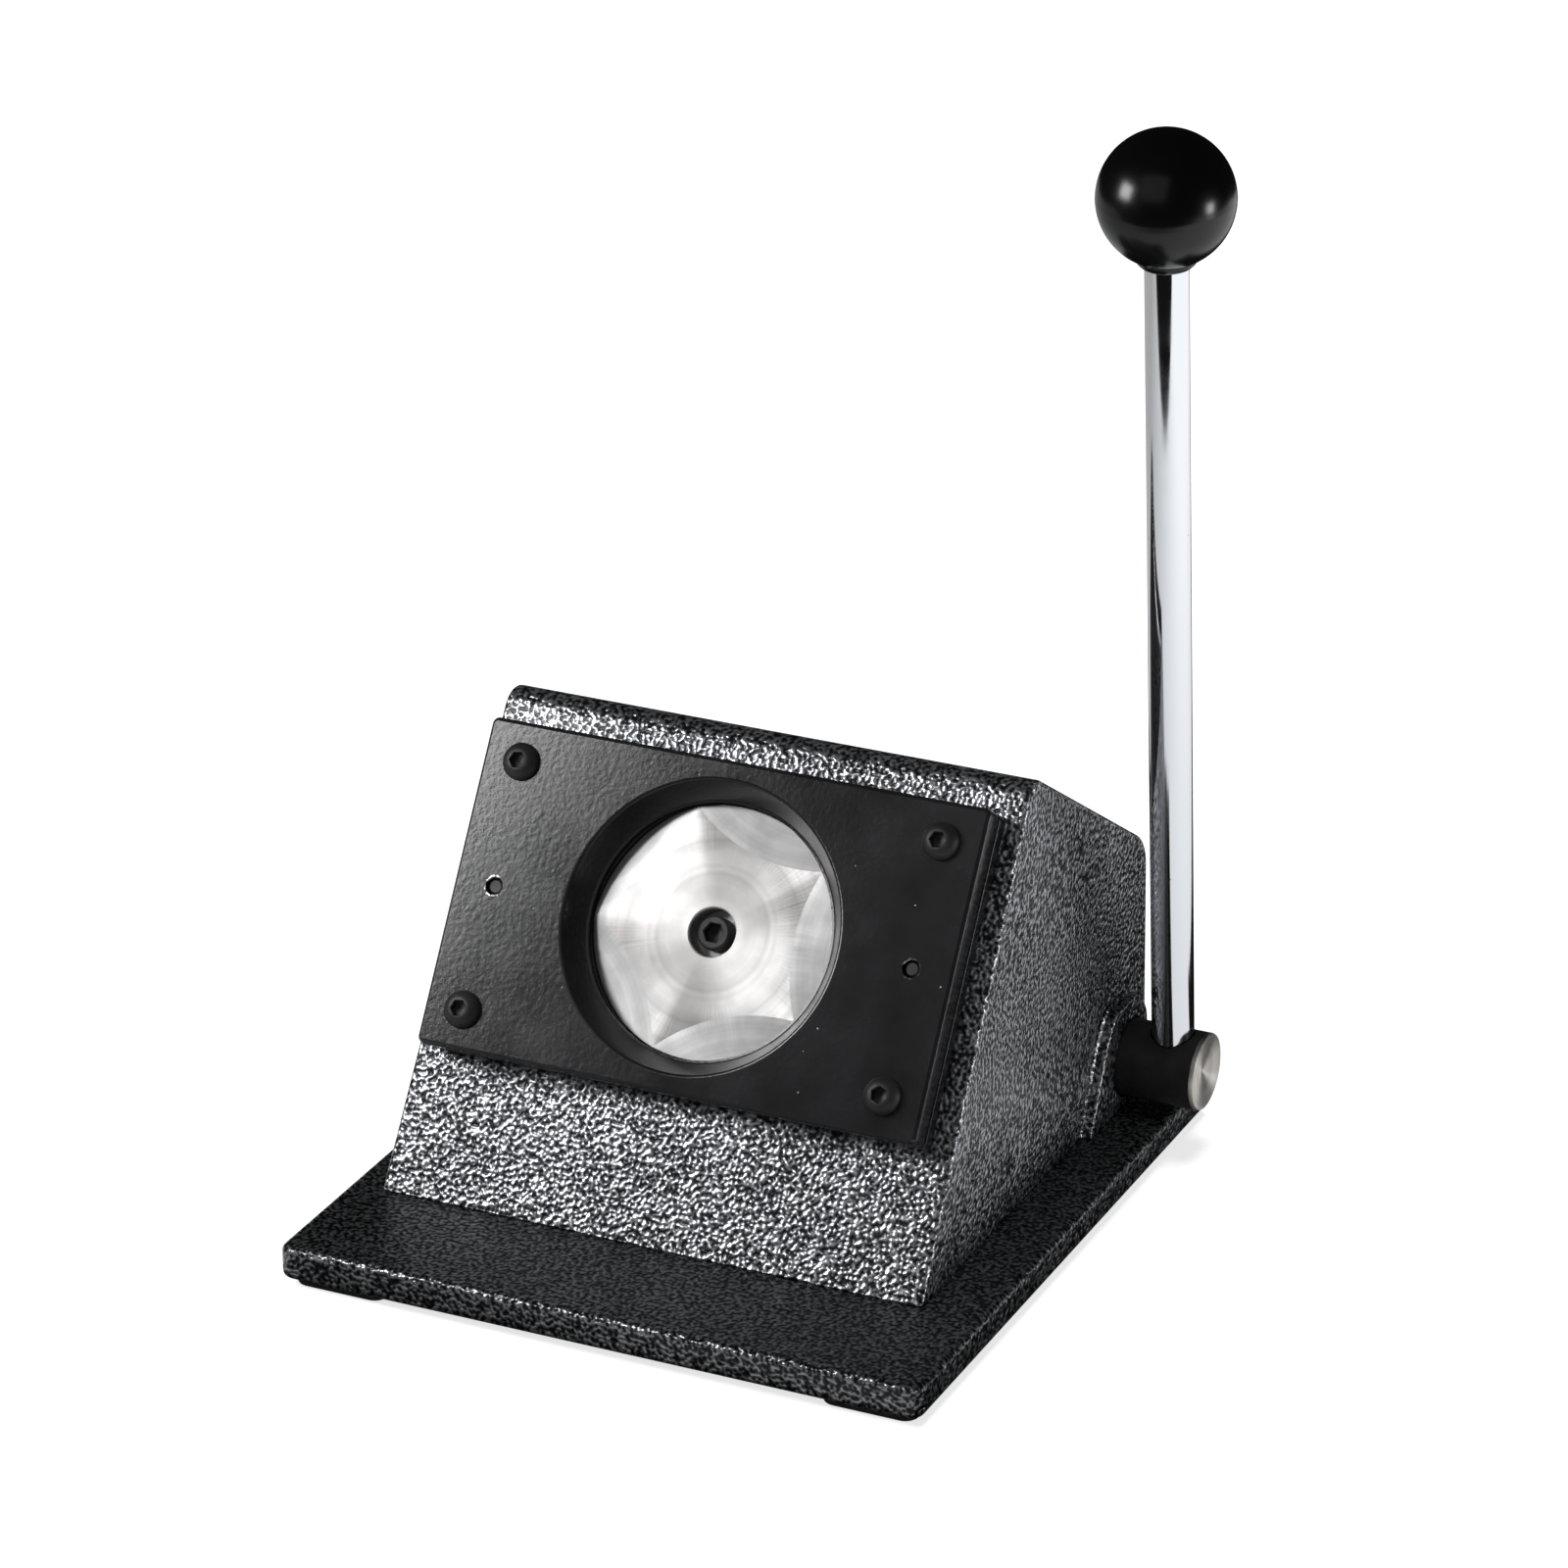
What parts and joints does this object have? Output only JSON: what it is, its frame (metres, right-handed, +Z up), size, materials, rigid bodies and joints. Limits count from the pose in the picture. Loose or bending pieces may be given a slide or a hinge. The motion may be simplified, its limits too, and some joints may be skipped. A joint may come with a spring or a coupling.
{
  "type": "badge disc cutter",
  "caption": "Table-top hand-lever cutter that punches round paper discs for button badges through a sloping die plate.",
  "frame": {"origin": "on the table, under the middle of the bounding box", "axes": "+Z up, -Y towards the operator, +X towards the lever"},
  "size_m": [0.206, 0.207, 0.3075],
  "materials": {
    "black_oxide_steel": "black oxide, oiled",
    "black_rubber": "matt",
    "chrome_plate": "bright polished",
    "gloss_phenolic": "polished moulding",
    "hammertone_base": "hammertone enamel, dark grey",
    "hammertone_black": "hammertone enamel, black with a silver bloom",
    "satin_black_enamel": "satin enamel",
    "sintered_bronze": "machined",
    "spring_steel": "drawn wire",
    "turned_steel": "fine turned"
  },
  "bodies": {
    "root": {"base_plate": "hammertone_base", "foot_front_left": "black_rubber", "foot_front_right": "black_rubber", "foot_back_left": "black_rubber", "foot_back_right": "black_rubber", "body_casting": "hammertone_black", "body_screw_front_left": "black_oxide_steel", "body_screw_front_right": "black_oxide_steel", "body_screw_back_left": "black_oxide_steel", "body_screw_back_right": "black_oxide_steel", "guide_plate": "satin_black_enamel", "die_plate": "satin_black_enamel", "die_screw_top_left": "black_oxide_steel", "die_screw_top_right": "black_oxide_steel", "die_screw_low_left": "black_oxide_steel", "die_screw_low_right": "black_oxide_steel", "dowel_pin_left": "turned_steel", "dowel_pin_right": "turned_steel", "ram_bush": "sintered_bronze", "return_spring": "spring_steel", "shaft_bush_right": "sintered_bronze", "shaft_bush_left": "sintered_bronze"},
    "lever": {"cross_shaft": "black_oxide_steel", "cam": "turned_steel", "cam_pin": "spring_steel", "thrust_washer": "turned_steel", "retaining_ring_outer": "spring_steel", "retaining_ring_inner": "spring_steel", "lever_rod": "chrome_plate", "lever_knob": "gloss_phenolic", "knob_insert": "sintered_bronze"},
    "ram": {"ram": "turned_steel", "punch": "turned_steel", "punch_screw": "black_oxide_steel", "spring_seat": "black_oxide_steel", "seat_ring": "spring_steel", "roller_pin": "turned_steel"},
    "roller": {"cam_roller": "turned_steel"}
  },
  "joints": [
    {"name": "lever_swing", "type": "hinge", "parent": "root", "child": "lever", "pos_m": [0, 0.07708, 0.02588], "axis": [1, 0, 0], "range_deg": [0, 75], "stiffness_Nm_per_rad": 0.3, "springref_deg": -25.78},
    {"name": "ram_slide", "type": "slide", "parent": "root", "child": "ram", "axis": [0, -0.848, 0.5299], "range_m": [0, 0.0067], "deforming": ["return_spring"]},
    {"name": "roller_spin", "type": "hinge", "parent": "ram", "child": "roller", "pos_m": [-0.0132, 0.05817, 0.03958], "axis": [1, 0, 0], "range_deg": [-190, 0]}
  ],
  "couplings": [
    {"joint": "ram_slide", "follows": "lever_swing", "m_per_rad": 0.0049656},
    {"joint": "roller_spin", "follows": "lever_swing", "ratio": -2.3}
  ]
}
